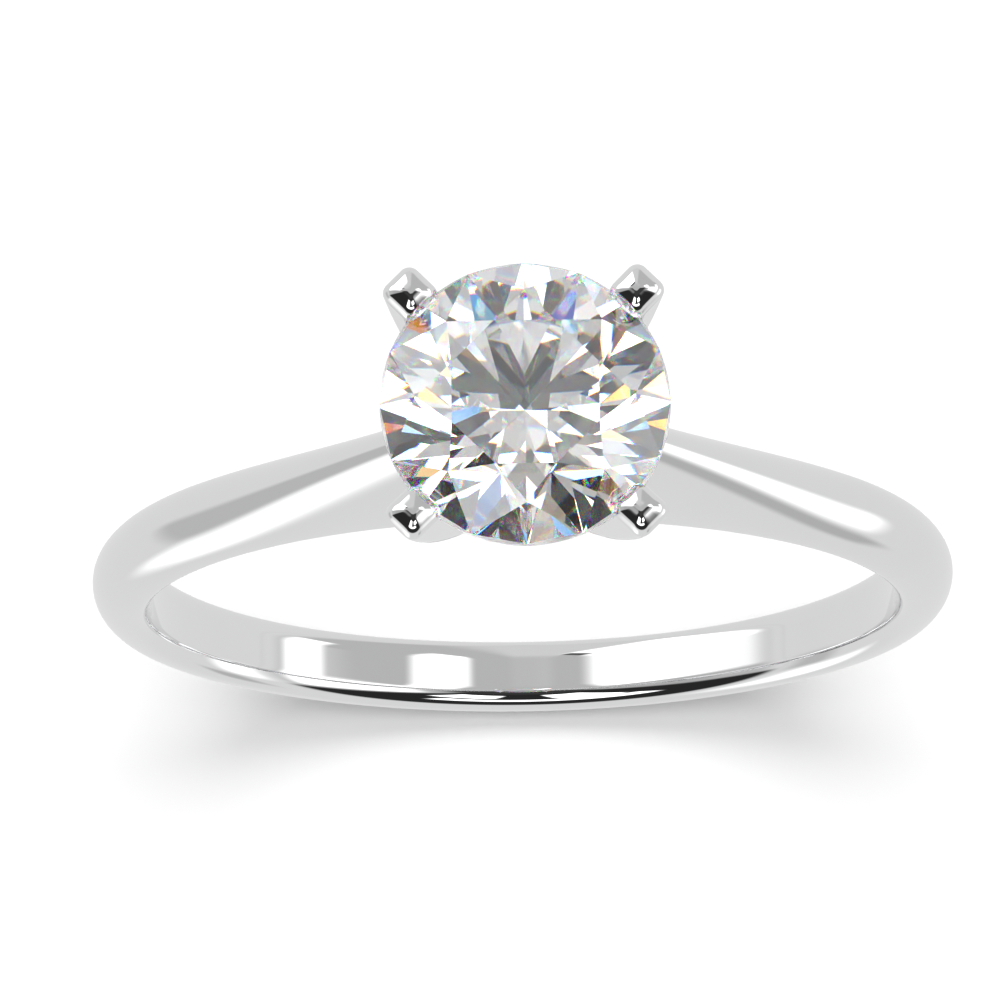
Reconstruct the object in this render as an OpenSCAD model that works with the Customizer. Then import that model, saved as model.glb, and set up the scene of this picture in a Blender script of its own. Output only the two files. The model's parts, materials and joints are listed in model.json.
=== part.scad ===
// Solitaire ring: a comfort-fit shank with raised shoulders, and a four-prong head for a round brilliant.
// Millimetres. The origin is the centre of the finger hole. +Y runs along the finger, +Z points to the head.

/* [Shank] */
// Diameter of the finger hole, which sets the ring size
bore_d = 17.3; // [14.4:0.1:20.8]
// Radial thickness of the band away from the shoulders
band_t = 1.32; // [1.1:0.02:1.6]
// Width of the band at its sides and shoulders
band_w = 1.9; // [1.55:0.05:2.3]
// Width of the band at the back, opposite the head
back_w = 1.65; // [1.35:0.05:2]
// Height of the band's widest line above the bore
side_h = 0.35; // [0.28:0.01:0.45]
// Width of the rounding between each side and the bore
comfort_w = 0.45; // [0.35:0.01:0.55]

/* [Shoulders and seat] */
// Angle from the head at which each shoulder leaves the round of the band
shoulder_a = 52; // [48:1:56]
// Thickness of metal under the seat of the head
seat_h = 1.65; // [1.35:0.05:2]
// Diameter of the seat's floor
seat_d = 3.1; // [2.55:0.05:3.7]
// Angle of the seat's wall from upright
seat_a = 31; // [28:1:34]

/* [Stone] */
// Diameter of the stone at its girdle
stone_d = 6.5; // [5.4:0.1:7.8]
// Width of the table across its corners, as a share of the diameter
table_share = 0.55; // [0.5:0.01:0.62]
// Angle of the crown's main facets
crown_a = 34.5; // [31:0.5:37]
// Angle of the pavilion's main facets
pavilion_a = 40.75; // [39.75:0.25:42]
// Length of the star facets, as a share of the way from table to girdle
star_share = 0.5; // [0.4:0.05:0.6]
// Length of the lower girdle facets, as a share of the radius
lower_share = 0.77; // [0.7:0.01:0.85]
// Thickness of the girdle, as a share of the diameter
girdle_share = 0.03; // [0.02:0.005:0.05]
// Height of the stone's point above the seat
point_h = 2.22; // [1.85:0.01:2.7]

/* [Prongs] */
// Width of the square prong wire
prong_w = 1; // [0.8:0.05:1.2]
// Radius along the edges of the prong wire
prong_edge_r = 0.35; // [0.1:0.01:0.38]
// Lean of each prong at its tip, from upright
tip_lean = 13; // [10:0.5:16]
// How far each prong reaches in over the girdle
tip_grip = 0.14; // [0.1:0.01:0.2]
// Height of the tip's rim above the middle of the girdle
tip_h = 0.24; // [0.2:0.01:0.4]
// Height of the rounded top above the tip's rim
dome_h = 0.3; // [0.2:0.01:0.36]
// Radius of the rounded top
dome_r = 0.85; // [0.75:0.01:1]

/* [Head] */
// Thickness of the gallery rail's round wire
rail_wire_d = 0.7; // [0.58:0.01:0.84]
// Depth to which the gallery rail is let into each prong
rail_bite = 0.27; // [0.22:0.01:0.32]
// Depth of the gallery rail's centre below the girdle
rail_drop = 1.32; // [1.25:0.01:1.4]
// Height of the head's base
base_h = 0.7; // [0.6:0.01:0.84]
// Height of the prongs' feet above the seat
foot_h = 0.5; // [0.45:0.01:0.6]
// Diameter of the peg
peg_d = 1.5; // [1.25:0.05:1.8]
// Depth of the peg's socket in the base
peg_socket = 0.3; // [0.2:0.01:0.36]

/* [Fits] */
// Gap around the base, the peg and the gallery rail, which solder fills, and least gap from prong to shoulder
solder_gap = 0.03; // [0.02:0.01:0.05]
// Gap between the stone and its bearing in each prong
bearing_gap = 0.02; // [0.01:0.01:0.04]
// Gap between the feet of neighbouring prongs
foot_gap = 0.06; // [0.04:0.01:0.1]

/* [Hidden] */
round_fn = 96;

// Shank
bore_r = bore_d / 2;
band_r = bore_r + band_t;
side_r = bore_r + side_h;
bore_overcut = 0.04;
band_rings = 90;
dome_steps = 16;
comfort_steps = 4;

// Seat
seat_z = bore_r + seat_h;
seat_r = seat_d / 2;
peak_z = band_r / cos(shoulder_a);
seat_cut_h = peak_z - seat_z + 1;

// Stone: eight main facets, with the others turned half or quarter of the way between them
mains = 8;
half_turn = 180 / mains;
quarter_turn = half_turn / 2;
stone_r = stone_d / 2;
girdle_t = stone_d * girdle_share;
point_z = seat_z + point_h;
// The main facets are aimed just outside the girdle's edges, so that each ends in a clean tip near it
crown_ease = 0.005;
pavilion_ease = 0.0005;
girdle_low_z = point_z + (stone_r + pavilion_ease) * tan(pavilion_a);
girdle_top_z = girdle_low_z + girdle_t;
table_corner_r = stone_r * table_share;
table_flat_r = table_corner_r * cos(half_turn);
table_z = girdle_top_z + (stone_r + crown_ease - table_corner_r) * tan(crown_a);
// The lower point of each star facet lies where two crown mains meet
star_r = table_flat_r + (stone_r - table_flat_r) * star_share;
star_z = table_z - (star_r * cos(half_turn) - table_corner_r) * tan(crown_a);
star_slope = (table_z - star_z) / (star_r - table_flat_r);
girdle_flat_r = stone_r * cos(quarter_turn);
upper_slope = (star_z - girdle_top_z) / (girdle_flat_r - star_r * cos(quarter_turn));
// The lower point of each pair of lower girdle facets lies where two pavilion mains meet
lower_r = stone_r * (1 - lower_share);
lower_z = point_z + lower_r * cos(half_turn) * tan(pavilion_a);
lower_slope = (girdle_low_z - lower_z) / (girdle_flat_r - lower_r * cos(quarter_turn));

// Prongs: each is an arc in an upright plane through the axis, from its foot in the base to its tip
prong_half = prong_w / 2;
tip_r = stone_r - tip_grip + prong_half * cos(tip_lean);
tip_z = girdle_low_z + girdle_t / 2 + tip_h;
foot_r = prong_w + foot_gap;
foot_z = seat_z + foot_h;
chord_a = atan((tip_r - foot_r) / (tip_z - foot_z));
foot_lean = 2 * chord_a - tip_lean;
chord = norm([tip_r - foot_r, tip_z - foot_z]);
arc_r = chord / (2 * sin(chord_a - tip_lean));
arc_x = tip_r - arc_r * cos(tip_lean);
arc_z = tip_z + arc_r * sin(tip_lean);
// Leans at which the rounded top starts and is sure to have ended
dome_lean = tip_lean + (dome_r - dome_h) / arc_r * 180 / PI;
past_tip_lean = tip_lean - 2 * dome_h / arc_r * 180 / PI;
edge_steps = 5;

// Head: the rail's size follows the prongs' inner faces at its own height
rail_z = girdle_low_z - rail_drop;
rail_wire_r = rail_wire_d / 2;
prong_inner_r = arc_x + sqrt(pow(arc_r - prong_half, 2) - pow(arc_z - rail_z, 2));
rail_d = 2 * (prong_inner_r + rail_bite - rail_wire_r);
peg_r = peg_d / 2;
peg_top_z = seat_z + peg_socket;

function smooth(t) = t * t * (3 - 2 * t);

// Half the band's width at an angle from the head
function half_w(a) = (band_w - (band_w - back_w) * smooth(max(0, -cos(a)))) / 2;

// Outer radius: the round of the band, then a straight line tangent to it up each shoulder
function outer_r(a) = abs(a) < shoulder_a ? band_r / cos(shoulder_a - abs(a)) : band_r;

// Cross section of the band at an angle, as [across, out from the centre]
function section(a) = [
    for (i = [0:dome_steps])
        let (s = 180 * i / dome_steps)
        [half_w(a) * cos(s), side_r + (outer_r(a) - side_r) * sin(s)],
    for (i = [1:comfort_steps])
        let (s = 90 * i / comfort_steps)
        [-half_w(a) + comfort_w * (1 - cos(s)), side_r - (side_h + bore_overcut) * sin(s)],
    for (i = [comfort_steps:-1:1])
        let (s = 90 * i / comfort_steps)
        [half_w(a) - comfort_w * (1 - cos(s)), side_r - (side_h + bore_overcut) * sin(s)]
];

// The band as one closed sweep of its section around the finger hole
module band() {
    count = dome_steps + 1 + 2 * comfort_steps;
    points = [
        for (k = [0:band_rings - 1])
            let (a = 360 * k / band_rings - 180)
            for (p = section(a))
                [p[1] * sin(a), p[0], p[1] * cos(a)]
    ];
    faces = [
        for (k = [0:band_rings - 1])
            for (j = [0:count - 1])
                let (
                    here = k * count,
                    next = (k + 1) % band_rings * count,
                    j2 = (j + 1) % count
                )
                each [[here + j, here + j2, next + j2], [here + j, next + j2, next + j]]
    ];
    polyhedron(points, faces);
}

// Cone that the head sits in, eased outwards by a gap
module seat_cone(h, gap = 0) {
    translate([0, 0, seat_z])
        cylinder(r1 = seat_r - gap, r2 = seat_r - gap + h * tan(seat_a), h = h, $fn = round_fn);
}

module bore() {
    rotate([90, 0, 0])
        cylinder(r = bore_r, h = 2 * band_w, center = true, $fn = 2 * round_fn);
}

module shank() {
    color("silver")
    difference() {
        band();
        bore();
        seat_cone(seat_cut_h);
        cylinder(r = peg_r + solder_gap, h = peak_z, $fn = round_fn);
    }
}

// The peg's lower end is filed flush with the finger hole
module peg() {
    color("gainsboro")
    difference() {
        cylinder(r = peg_r, h = peg_top_z, $fn = round_fn);
        bore();
    }
}

module head_base() {
    color("lightgray")
    difference() {
        seat_cone(base_h, solder_gap);
        cylinder(r = peg_r + solder_gap, h = peg_top_z, $fn = round_fn);
        for (a = [45:90:315])
            prong_blank(a);
    }
}

module rail(gap = 0) {
    translate([0, 0, rail_z])
        rotate_extrude($fn = round_fn)
            translate([rail_d / 2, 0])
                circle(r = rail_wire_r + gap, $fn = 32);
}

module gallery_rail() {
    color("gainsboro")
        rail();
}

// Square with rounded corners, the section of the prong wire
module wire_section() {
    flat = prong_half - prong_edge_r;
    polygon([
        for (corner = [0:3])
            for (i = [0:edge_steps])
                let (
                    s = 90 * (corner + i / edge_steps),
                    x = (corner == 0 || corner == 3) ? flat : -flat,
                    y = corner < 2 ? flat : -flat
                )
                [x + prong_edge_r * cos(s), y + prong_edge_r * sin(s)]
    ]);
}

// A stretch of prong wire between two leans, in the plane y = 0
module wire_arc(low_lean, high_lean) {
    translate([arc_x, 0, arc_z])
        rotate([90, low_lean, 0])
            rotate_extrude(angle = low_lean - high_lean, $fn = round_fn)
                translate([arc_r, 0])
                    wire_section();
}

// Moves its children to the middle of the wire at a lean, with +Z along the wire
module on_wire(lean) {
    translate([arc_x + arc_r * cos(lean), 0, arc_z - arc_r * sin(lean)])
        rotate([0, lean, 0])
            children();
}

// What is filed off the end of the wire to leave a rounded top
module filed_off() {
    difference() {
        on_wire(dome_lean)
            cylinder(r = 2 * prong_w, h = 2 * dome_r, $fn = round_fn);
        on_wire(dome_lean)
            sphere(r = dome_r, $fn = round_fn);
    }
}

// A prong before its seats are cut
module prong_blank(a) {
    rotate([0, 0, a])
        difference() {
            wire_arc(foot_lean, past_tip_lean);
            filed_off();
        }
}

// Round envelope of the stone at the prongs, where pairs of girdle facets meet
module bearing() {
    r = stone_r + bearing_gap;
    rotate_extrude($fn = round_fn)
        polygon([
            [0, girdle_low_z - r * lower_slope * cos(quarter_turn)],
            [r, girdle_low_z],
            [r, girdle_top_z],
            [0, girdle_top_z + r * upper_slope * cos(quarter_turn)]
        ]);
}

// The shoulders' side of the seat, with a gap around it that the prongs are filed back to
module shoulder_room() {
    difference() {
        translate([0, 0, seat_z + seat_cut_h / 2])
            cube([2 * peak_z, band_w + 2 * solder_gap, seat_cut_h], center = true);
        seat_cone(seat_cut_h, solder_gap);
    }
}

module prong(a) {
    color("lightgray")
    difference() {
        prong_blank(a);
        bearing();
        rail(solder_gap);
        shoulder_room();
    }
}

// Cuts eight facets from its children. Each passes flat_r from the axis at height z, and its
// normal leans from upright by the given angle.
module facets(flat_r, z, lean, turn) {
    block = 2 * stone_d;
    difference() {
        children();
        for (i = [0:mains - 1])
            rotate([0, 0, half_turn * (2 * i + 1) + turn])
                translate([flat_r, 0, z])
                    rotate([0, lean, 0])
                        translate([-block / 2, -block / 2, 0])
                            cube(block);
    }
}

module centre_stone() {
    color("white", 0.6)
    facets(table_flat_r, table_z, atan(star_slope), half_turn)
    facets(girdle_flat_r, girdle_top_z, atan(upper_slope), quarter_turn)
    facets(girdle_flat_r, girdle_top_z, atan(upper_slope), -quarter_turn)
    facets(table_corner_r, table_z, crown_a, 0)
    facets(girdle_flat_r, girdle_low_z, 180 - atan(lower_slope), quarter_turn)
    facets(girdle_flat_r, girdle_low_z, 180 - atan(lower_slope), -quarter_turn)
    facets(stone_r + pavilion_ease, girdle_low_z, 180 - pavilion_a, 0)
        translate([0, 0, point_z - girdle_t])
            cylinder(r = stone_r, h = table_z - point_z + girdle_t, $fn = round_fn);
}

shank();
peg();
head_base();
gallery_rail();
prong(225);  // prong_front_left
prong(315);  // prong_front_right
prong(135);  // prong_back_left
prong(45);  // prong_back_right
centre_stone();
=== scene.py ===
# %% [markdown]
# # A solitaire ring, finished for its portrait
# The ring's working model fixes every size: the finger hole, the band, the prongs and the stone. This
# notebook keeps those sizes and makes what the eye sees: smooth polished metal, prongs with rounded
# tips, and a stone cut facet by facet. All lengths below are written in millimetres, as on the bench,
# and are turned into metres at the moment a mesh is made.

import json
from math import atan, cos, degrees, hypot, pi, radians, sin, sqrt, tan

import bmesh
import bpy
from mathutils import Matrix, Vector


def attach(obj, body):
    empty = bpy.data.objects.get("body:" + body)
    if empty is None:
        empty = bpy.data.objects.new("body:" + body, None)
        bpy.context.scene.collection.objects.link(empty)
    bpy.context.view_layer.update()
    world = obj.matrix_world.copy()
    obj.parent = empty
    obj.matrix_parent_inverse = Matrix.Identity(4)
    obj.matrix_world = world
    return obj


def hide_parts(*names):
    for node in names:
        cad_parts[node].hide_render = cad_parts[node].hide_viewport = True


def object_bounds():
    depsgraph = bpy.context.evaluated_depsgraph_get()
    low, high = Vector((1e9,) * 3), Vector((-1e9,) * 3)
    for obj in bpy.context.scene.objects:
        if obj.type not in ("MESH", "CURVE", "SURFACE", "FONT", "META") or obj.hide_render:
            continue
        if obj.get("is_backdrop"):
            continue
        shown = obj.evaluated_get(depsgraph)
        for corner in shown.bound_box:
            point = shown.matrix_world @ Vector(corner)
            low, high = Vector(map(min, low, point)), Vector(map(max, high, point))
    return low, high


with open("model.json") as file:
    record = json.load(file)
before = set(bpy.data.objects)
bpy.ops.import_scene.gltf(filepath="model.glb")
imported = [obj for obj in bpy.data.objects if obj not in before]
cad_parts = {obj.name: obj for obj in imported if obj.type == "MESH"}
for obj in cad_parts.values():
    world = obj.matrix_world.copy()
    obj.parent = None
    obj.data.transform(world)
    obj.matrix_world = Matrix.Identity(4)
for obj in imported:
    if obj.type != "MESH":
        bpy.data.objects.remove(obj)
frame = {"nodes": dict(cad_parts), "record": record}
cad_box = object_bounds()
MM = 0.001
scene = bpy.context.scene
print("pieces of the working model:", ", ".join(sorted(frame["nodes"])))


# %% [markdown]
# ## The sizes of the ring
# These are the sizes that a jeweller would write on the job card. Everything else is worked out from
# them. The finger hole is centred on the origin, the finger points along Y and the stone is up, on +Z.

# %% Job card for the band
BORE_R = frame["record"]["mounts"][0]["dims"]["r_mm"]
BAND_T = 1.32  # thickness from the finger hole outwards
BAND_W = 1.9  # width at the sides and shoulders
BACK_W = 1.65  # width at the bottom, inside the hand, where the band narrows
SIDE_H = 0.35  # height of each rounding, from the finger hole to where the dome begins
COMFORT_W = 0.45  # width of each rounding
SHOULDER = radians(52)  # where the shoulders leave the round, from the top
SEAT_Z = BORE_R + 1.65  # floor of the seat that the head stands in
SEAT_R = 1.55  # radius of that floor
SEAT_LEAN = radians(31)  # how far the seat's cone opens
print(f"finger hole {2 * BORE_R:.1f} mm, band {BAND_W} mm wide and {BAND_T} mm thick")

# %% Job card for the stone
STONE_R = 3.25
GIRDLE_SHARE = 0.03  # thickness of the girdle, as a share of the diameter
GIRDLE_T = 2 * STONE_R * GIRDLE_SHARE
POINT_Z = SEAT_Z + 2.22  # the stone's lowest point
CROWN = radians(34.5)  # lean of the main facets above the girdle
PAVILION = radians(40.75)  # lean of the main facets below it
GIRDLE_LOW_Z = POINT_Z + STONE_R * tan(PAVILION)
GIRDLE_TOP_Z = GIRDLE_LOW_Z + GIRDLE_T
print(f"stone {2 * STONE_R:.1f} mm, its girdle at {GIRDLE_LOW_Z:.2f} mm")

# %% Job card for the head
PRONG_HALF = 0.5  # half the width of the square wire
PRONG_EDGE_R = 0.26  # rounding of the wire's four edges
BITE = 0.14  # how far the girdle reaches into each prong
TIP_LEAN = radians(13)  # how far the wire's end leans outwards
TIP_R = STONE_R - BITE + PRONG_HALF * cos(TIP_LEAN)
TIP_Z = GIRDLE_LOW_Z + GIRDLE_T / 2 + 0.24  # the wire ends this far above the girdle's middle
TIP_RISE = 0.4  # height of the rounded tip above the wire's end
FOOT_R = 2 * PRONG_HALF + 0.06  # the feet stand close together, a hair apart
FOOT_Z = SEAT_Z + 0.5  # the feet end this far above the seat's floor

RAIL_Z = GIRDLE_LOW_Z - 1.32  # the rail runs this far under the girdle
RAIL_R = 2.45  # from the axis to the middle of the rail's wire
RAIL_WIRE_R = 0.35
BASE_H = 0.7
PEG_R = 0.75
PEG_TOP_Z = SEAT_Z + 0.3  # the peg reaches this far into the base
SOLDER = 0.03  # gap that solder fills
STONE_GAP = 0.02  # gap between the stone and its bearings
print(f"prong wire {2 * PRONG_HALF} mm, rail wire {2 * RAIL_WIRE_R} mm, peg {2 * PEG_R} mm")


# %% [markdown]
# ## Camera
# The ring is seen from above and slightly in front, as catalogues show it. A short lens close by would
# swell the stone and shrink the band behind it. A long lens that stands far back keeps the ring's near
# and far sides at almost the same scale, so the camera has one.

# %% Camera
ELEVATION = radians(75.03)
AZIMUTH = radians(-1.341)  # from straight in front, round to the right
ROLL = radians(0.51)
DISTANCE = 400
VIEW_W = 23.183  # width of the view at the ring
SENSOR = 36  # width of the sensor
NEAREST, FARTHEST = 10, 20000  # what the lens can see, from its front
AIM = (-0.527, 1.848)  # centre of the view, right and up of the origin

back = Vector((sin(AZIMUTH) * cos(ELEVATION), -cos(AZIMUTH) * cos(ELEVATION), sin(ELEVATION)))
level = Vector((cos(AZIMUTH), sin(AZIMUTH), 0))
rise = back.cross(level)
right = level * cos(ROLL) + rise * sin(ROLL)
up = rise * cos(ROLL) - level * sin(ROLL)

lens = bpy.data.cameras.new("portrait_camera")
lens.sensor_width = SENSOR
lens.lens = SENSOR * DISTANCE / VIEW_W
lens.clip_start = NEAREST * MM
lens.clip_end = FARTHEST * MM
camera = bpy.data.objects.new("portrait_camera", lens)
turned = Matrix((right, up, back)).transposed().to_4x4()
centre_of_view = (right * AIM[0] + up * AIM[1] + back * DISTANCE) * MM
camera.matrix_world = Matrix.Translation(centre_of_view) @ turned
scene.collection.objects.link(camera)
scene.camera = camera
print(f"lens {lens.lens:.0f} mm, {DISTANCE} mm from the ring")


# %% [markdown]
# ## Nodes written as sums
# Materials and generated shapes in Blender are trees of nodes. Written out node by node they are hard to
# read, so two small classes let a formula be written as one. `Value` wraps a socket and answers to
# `+ - * /`, and `Bench` adds any other node: its type, its settings, and what goes into its sockets.

# %% Value and Bench
class Value:
    """One output of a node, which Python's operators work on."""

    def __init__(self, bench, node, output=0):
        self.bench, self.node = bench, node
        self.socket = node.outputs[output] if len(node.outputs) else None

    def output(self, name):
        return Value(self.bench, self.node, name)

    def math(self, operation, *others, swap=False, clamp=False):
        terms = [self, *others]
        if swap:
            terms.reverse()
        return self.bench.add(
            "ShaderNodeMath", {"operation": operation, "use_clamp": clamp}, dict(enumerate(terms))
        )

    def __add__(self, other):
        return self.math("ADD", other)

    def __radd__(self, other):
        return self.math("ADD", other)

    def __sub__(self, other):
        return self.math("SUBTRACT", other)

    def __rsub__(self, other):
        return self.math("SUBTRACT", other, swap=True)

    def __mul__(self, other):
        return self.math("MULTIPLY", other)

    def __rmul__(self, other):
        return self.math("MULTIPLY", other)

    def __truediv__(self, other):
        return self.math("DIVIDE", other)

    def __rtruediv__(self, other):
        return self.math("DIVIDE", other, swap=True)

    def sine(self):
        return self.math("SINE")

    def cosine(self):
        return self.math("COSINE")

    def size(self):
        return self.math("ABSOLUTE")

    def at_least(self, other):
        return self.math("MAXIMUM", other)

    def share(self):
        """Itself, kept between 0 and 1."""
        return self.math("ADD", 0.0, clamp=True)

    def step(self, low, high):
        """0 below low, 1 above high, and a smooth rise between them."""
        t = ((self - low) / (high - low)).share()
        return t * t * (3 - 2 * t)


class Bench:
    """A node tree, and the one way that nodes are added to it."""

    def __init__(self, tree):
        self.tree = tree

    def add(self, kind, settings=None, sockets=None, output=0):
        node = self.tree.nodes.new(kind)
        for name, value in (settings or {}).items():
            setattr(node, name, value)
        for name, value in (sockets or {}).items():
            if isinstance(value, Value):
                self.tree.links.new(value.socket, node.inputs[name])
            else:
                node.inputs[name].default_value = value
        return Value(self, node, output)


print("a Value answers to + - * / and to a smooth step")


# %% [markdown]
# ## Polished white metal
# A ring like this is white gold with a bright plate, polished until no tool mark can be felt. The metal
# keeps about a sixth of the light at every bounce, so what it shows twice looks darker. Up close a
# polish is never perfect: fine hairlines follow the cloth, and the shine wanders a little. A metal shader
# with one even roughness would be simpler but looks too perfect up close, so two soft noises set its
# roughness, its tone and a very low relief.

# %% Metal material
METAL_COLOUR = (0.83, 0.83, 0.833, 1)
DULLER_COLOUR = (0.81, 0.812, 0.818, 1)
CLOUD_SCALE = 900.0  # patches for each metre
CLOUD_DETAIL = 3.0
HAIRLINE_DETAIL = 4.0
HAIRLINE_STRETCH = 0.08  # hairlines run along the finger's direction
HAIRLINE_FROM, HAIRLINE_TO = 0.35, 0.75  # stretch of the noise that shows as a hairline
SHINE = 0.012  # roughness of the clean polish
HAZE = 0.02  # roughness that a hairline adds
RELIEF = 0.02
RELIEF_DEPTH = 2e-6  # in metres
SEED_STEP = 7.0


def polished_metal(name, hairline_scale, seed):
    """White metal with hairlines from the polishing cloth. The scale is hairlines for each metre."""
    material = bpy.data.materials.new(name)
    material.use_nodes = True
    material.node_tree.nodes.clear()
    bench = Bench(material.node_tree)
    place = bench.add("ShaderNodeTexCoord").output("Object")
    cloudy = bench.add(
        "ShaderNodeTexNoise", {"noise_dimensions": "4D"},
        {"Vector": place, "W": seed, "Scale": CLOUD_SCALE, "Detail": CLOUD_DETAIL}, "Fac",
    )
    combed = bench.add("ShaderNodeMapping", {}, {"Vector": place, "Scale": (1.0, HAIRLINE_STRETCH, 1.0)})
    hairlines = bench.add(
        "ShaderNodeTexNoise", {"noise_dimensions": "4D"},
        {"Vector": combed, "W": seed + SEED_STEP, "Scale": hairline_scale, "Detail": HAIRLINE_DETAIL}, "Fac",
    )
    roughness = SHINE + HAZE * cloudy * hairlines.step(HAIRLINE_FROM, HAIRLINE_TO)
    relief = bench.add(
        "ShaderNodeBump", {}, {"Strength": RELIEF, "Distance": RELIEF_DEPTH, "Height": hairlines}
    )
    # A Mix node keeps its two colours in sockets 6 and 7, and the mixed colour is its output 2
    tone = bench.add(
        "ShaderNodeMix", {"data_type": "RGBA"},
        {0: cloudy, 6: METAL_COLOUR, 7: DULLER_COLOUR}, 2,
    )
    metal = bench.add(
        "ShaderNodeBsdfPrincipled", {},
        {"Base Color": tone, "Metallic": 1.0, "Roughness": roughness, "Normal": relief},
    )
    bench.add("ShaderNodeOutputMaterial", {}, {"Surface": metal})
    return material


BAND_HAIRLINES, HEAD_HAIRLINES = 16000.0, 26000.0
BAND_SEED, HEAD_SEED = 1.0, 5.0
band_metal = polished_metal("band_polish", BAND_HAIRLINES, BAND_SEED)
head_metal = polished_metal("head_polish", HEAD_HAIRLINES, HEAD_SEED)
print("metals:", band_metal.name, head_metal.name)


# %% [markdown]
# ## The stone's material
# Diamond bends light more than any other clear stone in jewellery, and it bends blue more than red,
# which is what makes its fire. Blender's glass has one index for all colours, so where light enters
# three glasses share it, each in one colour and with its own index. Inside the stone, and on the way
# out, plain glass with the middle index is enough. The girdle is left as ground, with a fine frost.

# %% Stone material
INDEX_RED, INDEX_GREEN, INDEX_BLUE = 2.385, 2.42, 2.465
GRAIN_SCALE = 14000.0  # grains for each metre of the ground girdle
GRAIN_DETAIL = 2.0
FROST = 0.15  # roughness of the girdle where it is ground finest
FROST_RANGE = 0.5  # what the coarsest grain adds
GLASSES = 3


def clear_stone(name, girdle_low, girdle_top):
    """Diamond with fire, frosted between two heights in metres."""
    material = bpy.data.materials.new(name)
    material.use_nodes = True
    material.node_tree.nodes.clear()
    bench = Bench(material.node_tree)
    place = bench.add("ShaderNodeTexCoord").output("Object")
    height = bench.add("ShaderNodeSeparateXYZ", {}, {0: place}).output("Z")
    grain = bench.add(
        "ShaderNodeTexNoise", {}, {"Vector": place, "Scale": GRAIN_SCALE, "Detail": GRAIN_DETAIL}, "Fac"
    )
    frosted = height.math("GREATER_THAN", girdle_low) * height.math("LESS_THAN", girdle_top)
    frost = frosted * (FROST + FROST_RANGE * grain)

    def glass(colour, index):
        return bench.add("ShaderNodeBsdfGlass", {}, {"Color": (*colour, 1), "Roughness": frost, "IOR": index})

    def mixed(share, first, second):
        return bench.add("ShaderNodeMixShader", {}, {0: share, 1: first, 2: second})

    # Each colour is three times as strong, because a third of the light goes through each glass
    red = glass((GLASSES, 0, 0), INDEX_RED)
    green = glass((0, GLASSES, 0), INDEX_GREEN)
    blue = glass((0, 0, GLASSES), INDEX_BLUE)
    entry = mixed(2 / GLASSES, red, mixed(1 / 2, green, blue))
    inside = bench.add("ShaderNodeNewGeometry").output("Backfacing")
    stone = mixed(inside, entry, glass((1, 1, 1), INDEX_GREEN))
    bench.add("ShaderNodeOutputMaterial", {}, {"Surface": stone})
    return material


diamond = clear_stone("diamond", GIRDLE_LOW_Z * MM, GIRDLE_TOP_Z * MM)
print("stone:", diamond.name, "frosted over", round(GIRDLE_T, 3), "mm of height")


# %% [markdown]
# ## From points to pieces
# Every hand-built piece below ends as a list of points and faces. One helper turns such a list into an
# object in metres, shades it smoothly and keeps the edges that are truly sharp. A second one cuts one
# solid out of another, as a saw or a bur does.

# %% A piece from points and faces
SHARP = radians(35)  # edges that turn more than this stay sharp
SAME_POINT = 1e-9  # in metres


def smooth(mesh):
    """Shades a mesh smoothly, except over its sharp edges."""
    mesh.shade_smooth()
    mesh.set_sharp_from_angle(angle=SHARP)


def piece(name, points, faces, material):
    """An object from points in millimetres, with its normals outward."""
    mesh = bpy.data.meshes.new(name)
    mesh.from_pydata([Vector(p) * MM for p in points], [], faces)
    made = bmesh.new()
    made.from_mesh(mesh)
    bmesh.ops.remove_doubles(made, verts=made.verts, dist=SAME_POINT)
    bmesh.ops.recalc_face_normals(made, faces=made.faces)
    made.to_mesh(mesh)
    made.free()
    mesh.materials.append(material)
    smooth(mesh)
    made = bpy.data.objects.new(name, mesh)
    scene.collection.objects.link(made)
    return made


print("edges stay sharp over", round(degrees(SHARP)), "degrees")


# %% Sweeps, turned solids and cuts
def swept(rings, closed):
    """Faces that join rings of equal length, with caps on an open sweep. Returns points and faces."""
    count = len(rings[0])
    points = [p for ring in rings for p in ring]
    spans = len(rings) if closed else len(rings) - 1
    faces = [
        (
            k * count + j,
            k * count + (j + 1) % count,
            (k + 1) % len(rings) * count + (j + 1) % count,
            (k + 1) % len(rings) * count + j,
        )
        for k in range(spans)
        for j in range(count)
    ]
    if not closed:
        faces += [tuple(range(count)), tuple(range(len(points) - count, len(points)))]
    return points, faces


def turned_solid(profile, steps=192):
    """A profile of (radius, height) points turned about Z, with a flat cap at either end."""
    return swept(
        [[(r * cos(2 * pi * j / steps), r * sin(2 * pi * j / steps), z) for j in range(steps)]
         for r, z in profile],
        False,
    )


def cut(target, *tools):
    """Takes the tools out of the target and removes them."""
    for tool in tools:
        saw = target.modifiers.new("saw", "BOOLEAN")
        saw.operation = "DIFFERENCE"
        saw.solver = "EXACT"
        saw.object = tool
    evaluated = target.evaluated_get(bpy.context.evaluated_depsgraph_get())
    mesh = bpy.data.meshes.new_from_object(evaluated)
    target.modifiers.clear()
    target.data = mesh
    for tool in tools:
        bpy.data.objects.remove(tool)
    smooth(mesh)
    return target


disc_points, disc_faces = turned_solid([(1, 0), (1, 1)])
print("a plain turned disc has", len(disc_points), "points and", len(disc_faces), "faces")


# %% [markdown]
# ## The band
# The band is one continuous sweep. Its section is a half ellipse on the outside and two soft roundings
# on the finger's side, and it grows taller towards the head, where each shoulder leaves the round of the
# ring along a straight line. A shape that follows a rule is what Geometry Nodes are good at: a flat grid
# is rolled up by two formulas, one for the place around the ring and one for the place on the section.

# %% Band as a node tree
AROUND = 480  # faces around the ring
DOME, COMFORT, FLAT = 72, 14, 16  # faces over the dome, over each rounding and along the flat
ACROSS = DOME + 2 * COMFORT + FLAT
WELD = 1e-7  # in metres


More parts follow.
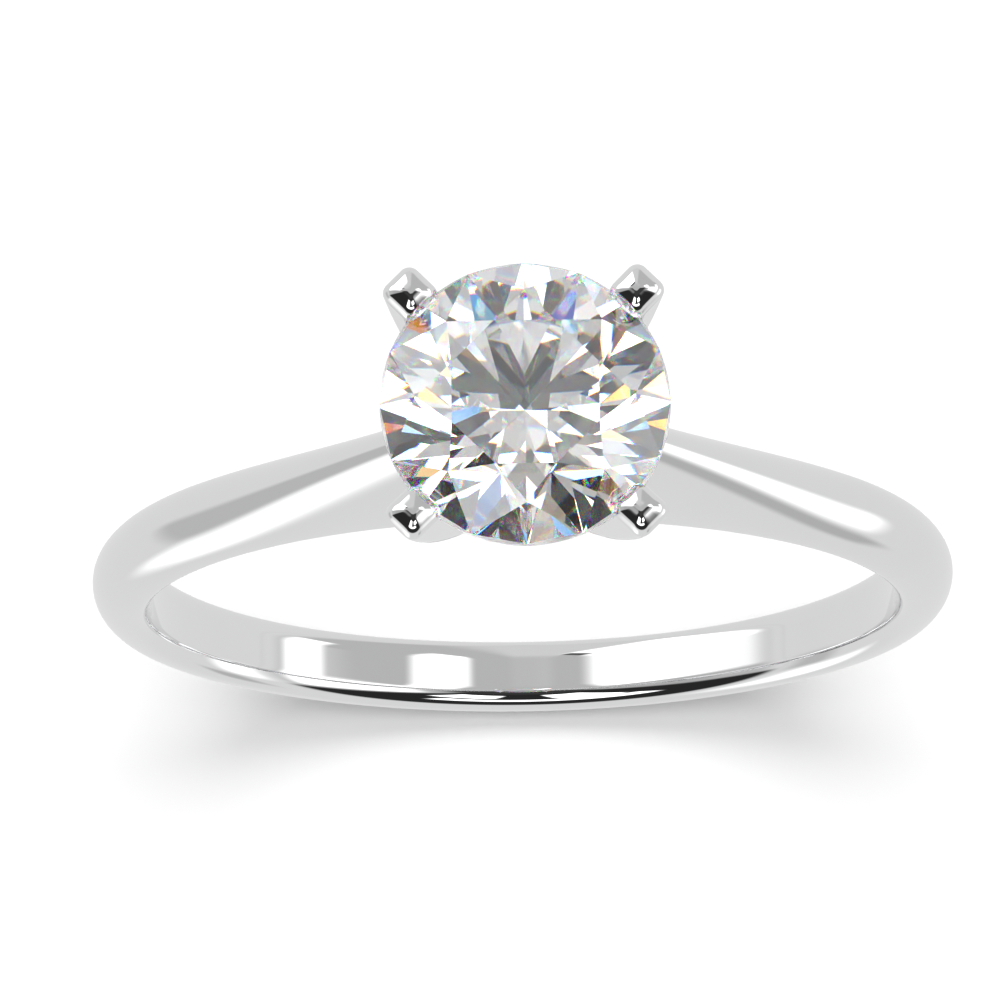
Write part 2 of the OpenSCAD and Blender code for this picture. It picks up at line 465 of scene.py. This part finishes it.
def band_tree():
    """A grid, rolled into the band by two formulas."""
    tree = bpy.data.node_groups.new("band", "GeometryNodeTree")
    sizes = {}
    for name in ("Bore radius", "Thickness", "Width", "Back width", "Side height", "Comfort width",
                 "Shoulder angle"):
        tree.interface.new_socket(name, in_out="INPUT", socket_type="NodeSocketFloat")
    tree.interface.new_socket("Metal", in_out="INPUT", socket_type="NodeSocketMaterial")
    tree.interface.new_socket("Band", in_out="OUTPUT", socket_type="NodeSocketGeometry")
    bench = Bench(tree)
    given = bench.add("NodeGroupInput")
    for socket in given.node.outputs:
        if socket.name:
            sizes[socket.name] = given.output(socket.name)
    bore_r = sizes["Bore radius"]
    side_r = bore_r + sizes["Side height"]

    index = bench.add("GeometryNodeInputIndex")
    row = (index / (ACROSS + 1)).math("FLOOR")
    column = index - row * (ACROSS + 1)
    angle = row * (2 * pi / AROUND) - pi

    # How far along each stretch of the section a point lies
    dome = (column / DOME).share()
    left = ((column - DOME) / COMFORT).share()
    flat = ((column - DOME - COMFORT) / FLAT).share()
    right_side = ((column - DOME - COMFORT - FLAT) / COMFORT).share()

    backness = (0 - angle.cosine()).at_least(0.0)
    eased = backness * backness * (3 - 2 * backness)
    half = (sizes["Width"] - (sizes["Width"] - sizes["Back width"]) * eased) / 2
    lean = (sizes["Shoulder angle"] - angle.size()).at_least(0.0)
    outer_r = (bore_r + sizes["Thickness"]) / lean.cosine()
    comfort = sizes["Comfort width"]
    quarter = pi / 2
    across = (
        half * (dome * pi).cosine()
        + comfort * (1 - (left * quarter).cosine())
        + (2 * half - 2 * comfort) * flat
        + comfort * (right_side * quarter).sine()
    )
    out = (
        side_r
        + (outer_r - side_r) * (dome * pi).sine()
        - sizes["Side height"] * (left * quarter).sine()
        + sizes["Side height"] * (1 - (right_side * quarter).cosine())
    )
    place = bench.add(
        "ShaderNodeCombineXYZ", {}, {"X": out * angle.sine(), "Y": across, "Z": out * angle.cosine()}
    )
    sheet = bench.add(
        "GeometryNodeMeshGrid", {}, {"Vertices X": AROUND + 1, "Vertices Y": ACROSS + 1}
    )
    rolled = bench.add("GeometryNodeSetPosition", {}, {"Geometry": sheet, "Position": place})
    welded = bench.add("GeometryNodeMergeByDistance", {}, {"Geometry": rolled, "Distance": WELD})
    real = bench.add("GeometryNodeRealizeInstances", {}, {"Geometry": welded})
    metal = bench.add("GeometryNodeSetMaterial", {}, {"Geometry": real, "Material": sizes["Metal"]})
    bench.add("NodeGroupOutput", {}, {"Band": metal})
    return tree


print("band grid:", AROUND, "faces around,", ACROSS, "across")


# %% Roll the band
def generated(name, tree, inputs):
    """The plain mesh object that a node tree makes from its named inputs."""
    host = bpy.data.objects.new(name, bpy.data.meshes.new(name))
    scene.collection.objects.link(host)
    maker = host.modifiers.new("maker", "NODES")
    maker.node_group = tree
    keys = {item.name: item.identifier for item in tree.interface.items_tree}
    for label, value in inputs.items():
        maker[keys[label]] = value
    evaluated = host.evaluated_get(bpy.context.evaluated_depsgraph_get())
    mesh = bpy.data.meshes.new_from_object(evaluated)
    host.modifiers.clear()
    host.data = mesh
    made = bmesh.new()
    made.from_mesh(mesh)
    bmesh.ops.recalc_face_normals(made, faces=made.faces)
    made.to_mesh(mesh)
    made.free()
    smooth(mesh)
    return host


shank = generated("shank_polished", band_tree(), {
    "Bore radius": BORE_R * MM,
    "Thickness": BAND_T * MM,
    "Width": BAND_W * MM,
    "Back width": BACK_W * MM,
    "Side height": SIDE_H * MM,
    "Comfort width": COMFORT_W * MM,
    "Shoulder angle": SHOULDER,
    "Metal": band_metal,
})
print("band faces before cutting:", len(shank.data.polygons))


# %% [markdown]
# ## The seat and the peg hole
# The head stands in a cone cut into the shoulders, and its peg goes through a drilled hole. Both could be
# part of the sweep, but at the bench they are cut with a cone-shaped bur and a drill once the band has
# its shape, and the same order gives clean edges here.

# %% Cut the seat and the peg hole
OVERCUT = 1  # how far a drill runs past what it drills
BUR_H = 7.0  # height of the cone-shaped bur, taller than the shoulders

seat_tool = piece("seat_tool", *turned_solid([
    (SEAT_R, SEAT_Z),
    (SEAT_R + BUR_H * tan(SEAT_LEAN), SEAT_Z + BUR_H),
]), band_metal)
drill = piece("drill", *turned_solid([
    (PEG_R + SOLDER, BORE_R - OVERCUT),
    (PEG_R + SOLDER, SEAT_Z + OVERCUT),
]), band_metal)
cut(shank, seat_tool, drill)
print("band faces:", len(shank.data.polygons))


# %% [markdown]
# ## The prongs
# Each prong is a square wire with softened edges, bent outward from the head's base and filed at the tip
# to a small pillow that faces the stone. The bend is one arc, so the wire's place is worked out from its
# lean alone. The pillow keeps the wire's rounded-square outline as it closes, which leaves four faint
# ridges, as a file does when it works from each side in turn. To turn it in towards the stone, the last
# rings of the wire tilt little by little. A rounded block joined to a plain wire would be simpler, but it
# would leave a seam where the polish should run on.

# %% Bend of the wire
chord_lean = atan((TIP_R - FOOT_R) / (TIP_Z - FOOT_Z))
FOOT_LEAN = 2 * chord_lean - TIP_LEAN
ARC_R = hypot(TIP_R - FOOT_R, TIP_Z - FOOT_Z) / (2 * sin(chord_lean - TIP_LEAN))
ARC_X = TIP_R - ARC_R * cos(TIP_LEAN)
ARC_Z = TIP_Z + ARC_R * sin(TIP_LEAN)
PILLOW_BELOW = 0.06  # how far under the wire's end the pillow starts
PILLOW_POWER = 2.1  # 2 is an ellipse, and more is fuller
PILLOW_TILT = TIP_LEAN + radians(4)  # how far the pillow turns in from the wire's own lean
TILT_LENGTH = 0.7  # stretch of wire over which the turn builds up
print(f"the wire leans {degrees(FOOT_LEAN):.1f} degrees at its foot, {degrees(TIP_LEAN):.1f} at its tip")


# %% Section of the wire
def wire_outline(corner_steps=10, flat_steps=4):
    """The rounded square of the wire, as (out, along the side) points."""
    flat = PRONG_HALF - PRONG_EDGE_R
    points = []
    for corner in range(4):
        cx = flat if corner in (0, 3) else -flat
        cy = flat if corner < 2 else -flat
        for i in range(corner_steps + 1):
            s = pi / 2 * (corner + i / corner_steps)
            points.append(Vector((cx + PRONG_EDGE_R * cos(s), cy + PRONG_EDGE_R * sin(s))))
        ahead = pi / 2 * (corner + 1)
        side = Vector((cos(ahead + pi / 2), sin(ahead + pi / 2)))
        for i in range(1, flat_steps):
            points.append(points[-1] + side * 2 * flat / flat_steps)
    return points


print("points around the wire:", len(wire_outline()))


# %% Wire and pillow
def bent(out, along, lean):
    """A point of the wire's section, out from its middle and along its side, where the wire leans so."""
    return (ARC_X + (ARC_R + out) * cos(lean), along, ARC_Z - (ARC_R + out) * sin(lean))


def prong_rings(bend_steps=96, pillow_steps=22):
    """Rings of the prong in the plane of its bend, from its foot to the top of its pillow."""
    outline = wire_outline()
    rings = []
    pillow_lean = TIP_LEAN + PILLOW_BELOW / ARC_R
    for k in range(bend_steps + 1):
        lean = FOOT_LEAN + (pillow_lean - FOOT_LEAN) * k / bend_steps
        t = max(0.0, 1 - (lean - pillow_lean) * ARC_R / TILT_LENGTH)
        slope = tan(PILLOW_TILT) * t * t * (3 - 2 * t)
        rings.append([bent(p.x, p.y, lean - p.x * slope / (ARC_R + p.x)) for p in outline])
    height = TIP_RISE + PILLOW_BELOW
    centre_x, _, centre_z = bent(0, 0, pillow_lean)
    for k in range(1, pillow_steps):
        s = pi / 2 * k / pillow_steps
        share = cos(s) ** (2 / PILLOW_POWER)
        lift = height * sin(s) ** (2 / PILLOW_POWER)
        ring = []
        for x, y, z in rings[bend_steps]:
            ring.append((
                centre_x + share * (x - centre_x) + lift * sin(pillow_lean - PILLOW_TILT),
                share * y,
                centre_z + share * (z - centre_z) + lift * cos(pillow_lean - PILLOW_TILT),
            ))
        rings.append(ring)
    return rings


print("rings in a prong:", len(prong_rings()))


# %% Room for the stone and the rail
BEARING_LOW = 0.83  # fall of the bearing under the girdle, for each step inwards
BEARING_HIGH = 0.85  # rise of the bearing over the girdle
NEAR_AXIS = 0.02  # radius of its two small ends


def bearing_profile():
    """The room that the stone needs inside the prongs."""
    r = STONE_R + STONE_GAP
    return [
        (NEAR_AXIS, GIRDLE_LOW_Z - r * BEARING_LOW),
        (r, GIRDLE_LOW_Z),
        (r, GIRDLE_TOP_Z),
        (NEAR_AXIS, GIRDLE_TOP_Z + r * BEARING_HIGH),
    ]


def rail_points(wire_r, steps=256, wire_steps=48):
    """The rail as a closed sweep. A thicker copy of it cuts the grooves in the prongs."""
    rings = []
    for k in range(steps):
        a = 2 * pi * k / steps
        rings.append([
            (
                (RAIL_R + wire_r * cos(2 * pi * j / wire_steps)) * cos(a),
                (RAIL_R + wire_r * cos(2 * pi * j / wire_steps)) * sin(a),
                RAIL_Z + wire_r * sin(2 * pi * j / wire_steps),
            )
            for j in range(wire_steps)
        ])
    return swept(rings, True)


print("points on the rail:", len(rail_points(RAIL_WIRE_R)[0]))


# %% Four prongs
def prong_solid(name, turn):
    """One whole prong, turned to its corner."""
    points, faces = swept(prong_rings(), False)
    turning = Matrix.Rotation(turn, 3, "Z")
    return piece(name, [turning @ Vector(p) for p in points], faces, head_metal)


GROOVE_STEPS, GROOVE_WIRE_STEPS = 192, 32
PRONGS = {
    "prong_front_left": radians(225),
    "prong_front_right": radians(315),
    "prong_back_left": radians(135),
    "prong_back_right": radians(45),
}
prongs = {}
groove_shape = rail_points(RAIL_WIRE_R + SOLDER, GROOVE_STEPS, GROOVE_WIRE_STEPS)
for node, turn in PRONGS.items():
    blank = prong_solid(node + "_polished", turn)
    stone_room = piece("stone_room", *turned_solid(bearing_profile()), head_metal)
    groove = piece("groove", *groove_shape, head_metal)
    prongs[node] = cut(blank, stone_room, groove)
print("prong faces:", len(prongs["prong_front_left"].data.polygons))


# %% [markdown]
# ## The rail, the base and the peg
# Under the stone a ring of round wire ties the prongs together. Their feet stand in a small turned cup,
# and a peg under the cup goes through the band. Blender has a ready torus and cylinder, but the rail is
# the same sweep that cut its grooves, so the two agree, and the peg's lower end is filed flush with the
# finger hole, which a plain cylinder can't follow. The cup is turned from its outline, as on a lathe, and
# the prongs' own feet cut their sockets in it.

# %% Rail
rail = piece("gallery_rail_polished", *rail_points(RAIL_WIRE_R), head_metal)
print("rail faces:", len(rail.data.polygons))


# %% Base
def base_profile(bevel=0.06):
    """Outline of the cup, with both rims bevelled."""
    low_r = SEAT_R - SOLDER
    high_r = low_r + BASE_H * tan(SEAT_LEAN)
    return [
        (low_r - bevel, SEAT_Z),
        (low_r, SEAT_Z + bevel),
        (high_r - bevel * tan(SEAT_LEAN), SEAT_Z + BASE_H - bevel),
        (high_r - bevel, SEAT_Z + BASE_H),
    ]


base = piece("head_base_polished", *turned_solid(base_profile()), head_metal)
socket_tool = piece("socket_tool", *turned_solid([
    (PEG_R + SOLDER, SEAT_Z - OVERCUT / 2),
    (PEG_R + SOLDER, PEG_TOP_Z),
]), head_metal)
feet = [prong_solid("foot_tool", turn) for turn in PRONGS.values()]
cut(base, socket_tool, *feet)
print("base faces:", len(base.data.polygons))


# %% Peg
def peg_ring(r, height=None, steps=96):
    """One ring of the peg. Without a height it lies on the wall of the finger hole."""
    ring = []
    for j in range(steps):
        x = r * cos(2 * pi * j / steps)
        y = r * sin(2 * pi * j / steps)
        ring.append((x, y, height if height else sqrt(BORE_R ** 2 - x ** 2)))
    return ring


def peg_rings(spokes=8, bevel=0.05):
    """The peg from the middle of its lower end, which is flush with the finger hole, up to its top."""
    rings = [peg_ring(PEG_R * k / spokes) for k in range(1, spokes + 1)]
    rings.append(peg_ring(PEG_R, PEG_TOP_Z - bevel))
    rings.append(peg_ring(PEG_R - bevel, PEG_TOP_Z))
    return rings


peg = piece("peg_polished", *swept(peg_rings(), False), head_metal)
print("peg faces:", len(peg.data.polygons))


# %% [markdown]
# ## The stone
# A cutter starts from a round blank and grinds flats. The corners of all 57 facets could be worked out
# and joined, but one slip would leave a facet bent. Here each facet is one plane that slices the blank,
# as on the cutter's wheel: eight mains, eight stars and sixteen halves above the girdle, eight mains and
# sixteen halves below it, and the table last. The facets stay dead flat, so the stone is shaded flat.

# %% Facets of the stone
MAINS = 8
HALF_TURN = pi / MAINS
QUARTER_TURN = HALF_TURN / 2
TABLE_SHARE = 0.55  # the table's corners, as a share of the stone's radius
STAR_SHARE = 0.5  # how far the stars reach from the table to the girdle
LOWER_SHARE = 0.77  # how far the lower halves reach from the girdle to the point
EASE = 0.002  # how far the main facets stop short of the girdle's rim
TABLE_CORNER_R = STONE_R * TABLE_SHARE
TABLE_FLAT_R = TABLE_CORNER_R * cos(HALF_TURN)
TABLE_Z = GIRDLE_TOP_Z + (STONE_R - TABLE_CORNER_R) * tan(CROWN)
STAR_R = TABLE_FLAT_R + (STONE_R - TABLE_FLAT_R) * STAR_SHARE
STAR_Z = TABLE_Z - (STAR_R * cos(HALF_TURN) - TABLE_CORNER_R) * tan(CROWN)
GIRDLE_FLAT_R = STONE_R * cos(QUARTER_TURN)
LOWER_R = STONE_R * (1 - LOWER_SHARE)
LOWER_Z = POINT_Z + LOWER_R * cos(HALF_TURN) * tan(PAVILION)
star_lean = atan((TABLE_Z - STAR_Z) / (STAR_R - TABLE_FLAT_R))
upper_lean = atan((STAR_Z - GIRDLE_TOP_Z) / (GIRDLE_FLAT_R - STAR_R * cos(QUARTER_TURN)))
lower_lean = atan((GIRDLE_LOW_Z - LOWER_Z) / (GIRDLE_FLAT_R - LOWER_R * cos(QUARTER_TURN)))
print(f"stars lean {degrees(star_lean):.1f}, upper halves {degrees(upper_lean):.1f}", end=", ")
print(f"lower halves {degrees(lower_lean):.1f} degrees")

# %% Cut the stone
GIRDLE_STEPS = 256
BLANK_MARGIN = 0.5  # how much taller the blank is than the stone, at either end


def slice_off(stone, out, z, lean, turn, below=False):
    """Grinds one flat that passes `out` from the axis at height z. It leans from level."""
    n = Vector((sin(lean) * cos(turn), sin(lean) * sin(turn), -cos(lean) if below else cos(lean)))
    p = Vector((out * cos(turn), out * sin(turn), z)) * MM
    everything = stone.verts[:] + stone.edges[:] + stone.faces[:]
    found = bmesh.ops.bisect_plane(
        stone, geom=everything, plane_co=p, plane_no=n, dist=SAME_POINT, clear_outer=True
    )
    rim = [e for e in found["geom_cut"] if isinstance(e, bmesh.types.BMEdge) and e.is_boundary]
    if rim:
        bmesh.ops.edgeloop_fill(stone, edges=rim)


def cut_stone(name):
    """A round blank with every facet cut."""
    blank = piece(name, *turned_solid([
        (STONE_R, POINT_Z - BLANK_MARGIN),
        (STONE_R, TABLE_Z + BLANK_MARGIN),
    ], GIRDLE_STEPS), diamond)
    stone = bmesh.new()
    stone.from_mesh(blank.data)
    for k in range(MAINS):
        main = HALF_TURN * (2 * k + 1)
        slice_off(stone, STONE_R - EASE, GIRDLE_LOW_Z, PAVILION, main, True)
        slice_off(stone, STONE_R - EASE, GIRDLE_TOP_Z, CROWN, main)
        for side in (-QUARTER_TURN, QUARTER_TURN):
            slice_off(stone, GIRDLE_FLAT_R, GIRDLE_LOW_Z, lower_lean, main + side, True)
            slice_off(stone, GIRDLE_FLAT_R, GIRDLE_TOP_Z, upper_lean, main + side)
        slice_off(stone, TABLE_FLAT_R, TABLE_Z, star_lean, main + HALF_TURN)
    slice_off(stone, 0, TABLE_Z, 0, 0)
    bmesh.ops.recalc_face_normals(stone, faces=stone.faces)
    open_edges = sum(not e.is_manifold for e in stone.edges)
    stone.to_mesh(blank.data)
    stone.free()
    blank.data.shade_flat()
    print("stone faces:", len(blank.data.polygons), "open edges:", open_edges)
    return blank


stone = cut_stone("centre_stone_cut")


# %% [markdown]
# ## Floor and light
# The ring stands on plain white. A polished ring shows its surroundings more than itself, so a studio for
# jewellery is built with care: a grey tent, bright windows behind, a black drape in front with three
# small panels in it for sparkle, and low cards that light the shoulders. Each could be a lamp of its own,
# but the sharp stone would show every lamp as noise, so the tent is painted on the world instead. Only
# what mirrors and refracts sees it. The floor gets an even fill and one soft lamp overhead, and it is
# left out of the reflections, so its white stays plain.

# %% Floor
PAPER = (0.8, 0.8, 0.8, 1)
FLOOR_HALF = 2000


def floor_material():
    """Plain white paper."""
    material = bpy.data.materials.new("white_floor")
    material.use_nodes = True
    material.node_tree.nodes.clear()
    bench = Bench(material.node_tree)
    paper = bench.add("ShaderNodeBsdfDiffuse", {}, {"Color": PAPER})
    bench.add("ShaderNodeOutputMaterial", {}, {"Surface": paper})
    return material


floor_z = cad_box[0].z / MM
floor = piece("floor", [
    (-FLOOR_HALF, -FLOOR_HALF, floor_z),
    (FLOOR_HALF, -FLOOR_HALF, floor_z),
    (FLOOR_HALF, FLOOR_HALF, floor_z),
    (-FLOOR_HALF, FLOOR_HALF, floor_z),
], [(0, 1, 2, 3)], floor_material())
floor.visible_glossy = False
floor.visible_transmission = False
floor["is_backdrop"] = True
print(f"floor at {floor_z:.2f} mm")

# %% What hangs in the tent
STUDIO = [
    # what, azimuth from and to, angle from overhead from and to, softness in degrees, brightness
    ("bright rim of the tent", -180, 180, 82, 92, 5, 1.0),
    ("pale wall behind, left half", -190, -150, 18, 86, 8, 0.92),
    ("pale wall behind, right half", 168, 190, 18, 86, 8, 0.92),
    ("window behind, to the left", -152, -106, 27, 80, 5, 3.0),
    ("window to the right", 62, 103, 34, 78, 5, 2.2),
    ("its upper wing", 96, 134, 22, 37, 3, 2.2),
    ("its lower wing", 92, 120, 67, 80, 3, 2.2),
    ("flag in the left window", -152, -134, 24, 31, 2, 0.08),
    ("dim roof over the camera", -100, 100, -5, 24, 6, 0.06),
    ("black drape in front", -74, 57, 18, 86, 4, 0.03),
    ("grey side of the drape", -100, -74, 20, 60, 8, 0.6),
    ("left front panel", -42, -13, 25, 46, 2, 4.0),
    ("right front panel", 12, 42, 27, 42, 2, 4.0),
    ("low front panel", -44, 28, 49, 59, 2, 3.0),
    ("grey card under the left shoulder", -100, -62, 94, 112, 6, 0.7),
    ("white card under the left shoulder", -56, -25, 100, 136, 9, 1.9),
    ("white card under the right shoulder", 60, 94, 92, 110, 7, 2.0),
    ("grey card under the right shoulder", 37, 54, 108, 126, 5, 0.64),
]
TENT = 0.69  # brightness of the tent itself
BELOW = 1.0  # brightness below the horizon
HORIZON_FROM, HORIZON_TO = 89, 91
FILL = 0.6  # brightness of the even fill on the floor
print("pieces in the tent:", len(STUDIO))


# %% World
def studio():
    """The tent for mirrors and glass, and a plain dome for all else."""
    world = bpy.data.worlds.new("tent")
    scene.world = world
    world.use_nodes = True
    world.node_tree.nodes.clear()
    bench = Bench(world.node_tree)
    way = bench.add("ShaderNodeTexCoord").output("Generated")
    split = bench.add("ShaderNodeSeparateXYZ", {}, {0: way})
    x, y, z = (split.output(axis) for axis in "XYZ")
    azimuth = x.math("ARCTAN2", 0 - y) * degrees(1)
    from_top = z.math("ARCCOSINE") * degrees(1)
    glow = from_top.step(HORIZON_FROM, HORIZON_TO) * (BELOW - TENT) + TENT
    for what, left_edge, right_edge, top_edge, low_edge, soft, brightness in STUDIO:
        mask = (
            azimuth.step(left_edge - soft, left_edge + soft)
            * (1 - azimuth.step(right_edge - soft, right_edge + soft))
            * from_top.step(top_edge - soft, top_edge + soft)
            * (1 - from_top.step(low_edge - soft, low_edge + soft))
        )
        glow = glow + mask * (brightness - glow)
    path = bench.add("ShaderNodeLightPath")
    seen = path.output("Is Camera Ray")
    mirrored = path.output("Is Glossy Ray").at_least(path.output("Is Transmission Ray"))
    plain = FILL + (1 - FILL) * seen
    tent = bench.add("ShaderNodeBackground", {}, {"Strength": plain + mirrored * (glow - plain)})
    bench.add("ShaderNodeOutputWorld", {}, {"Surface": tent})
    return world


print("world nodes:", len(studio().node_tree.nodes))

# %% Lamp over the floor
LAMP_LEAN = radians(4)  # to the back, from straight overhead
LAMP_SPREAD = radians(52)  # width of the lamp, as the ring sees it
LAMP_DISTANCE = 300
LAMP_GLOW = 5.8


def top_light():
    """A soft lamp high over the ring, which lights only the floor."""
    lamp = bpy.data.lights.new("top_light", "AREA")
    lamp.shape = "DISK"
    lamp.size = 2 * LAMP_DISTANCE * tan(LAMP_SPREAD / 2) * MM
    lamp.energy = LAMP_GLOW * pi * (lamp.size / 2) ** 2 * pi
    made = bpy.data.objects.new("top_light", lamp)
    towards = Vector((0, sin(LAMP_LEAN), cos(LAMP_LEAN)))
    turned = towards.to_track_quat("Z", "Y").to_matrix().to_4x4()
    made.matrix_world = Matrix.Translation(towards * LAMP_DISTANCE * MM) @ turned
    made.visible_camera = False
    made.visible_glossy = False
    made.visible_transmission = False
    scene.collection.objects.link(made)
    return made


lamp = top_light()
print(f"lamp {lamp.data.size / MM:.0f} mm wide")

# %% Colour and bounces
ALL_BOUNCES = 40
STONE_BOUNCES = 32  # light turns many times inside the stone before it comes out

scene.view_settings.view_transform = "Standard"
scene.cycles.max_bounces = ALL_BOUNCES
scene.cycles.glossy_bounces = STONE_BOUNCES
scene.cycles.transmission_bounces = STONE_BOUNCES
print("bounces of light:", scene.cycles.max_bounces)


# %% [markdown]
# ## Hand the pieces over
# Nothing on this ring moves, so every new piece rides on the ring's one body. Each stands for its piece of
# the working model.

# %% Frame calls
REPLACED = {
    "shank": shank,
    "peg": peg,
    "head_base": base,
    "gallery_rail": rail,
    "centre_stone": stone,
    **prongs,
}
for node, made in REPLACED.items():
    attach(made, "root")
    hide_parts(node)
    "stone" if node == "centre_stone" else "polished_metal"

sizes = {
    "cad": [list(corner) for corner in cad_box],
    "visual": [list(corner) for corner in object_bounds()],
}
print("size in mm:", [round((b - a) / MM, 2) for a, b in zip(*sizes["visual"])])
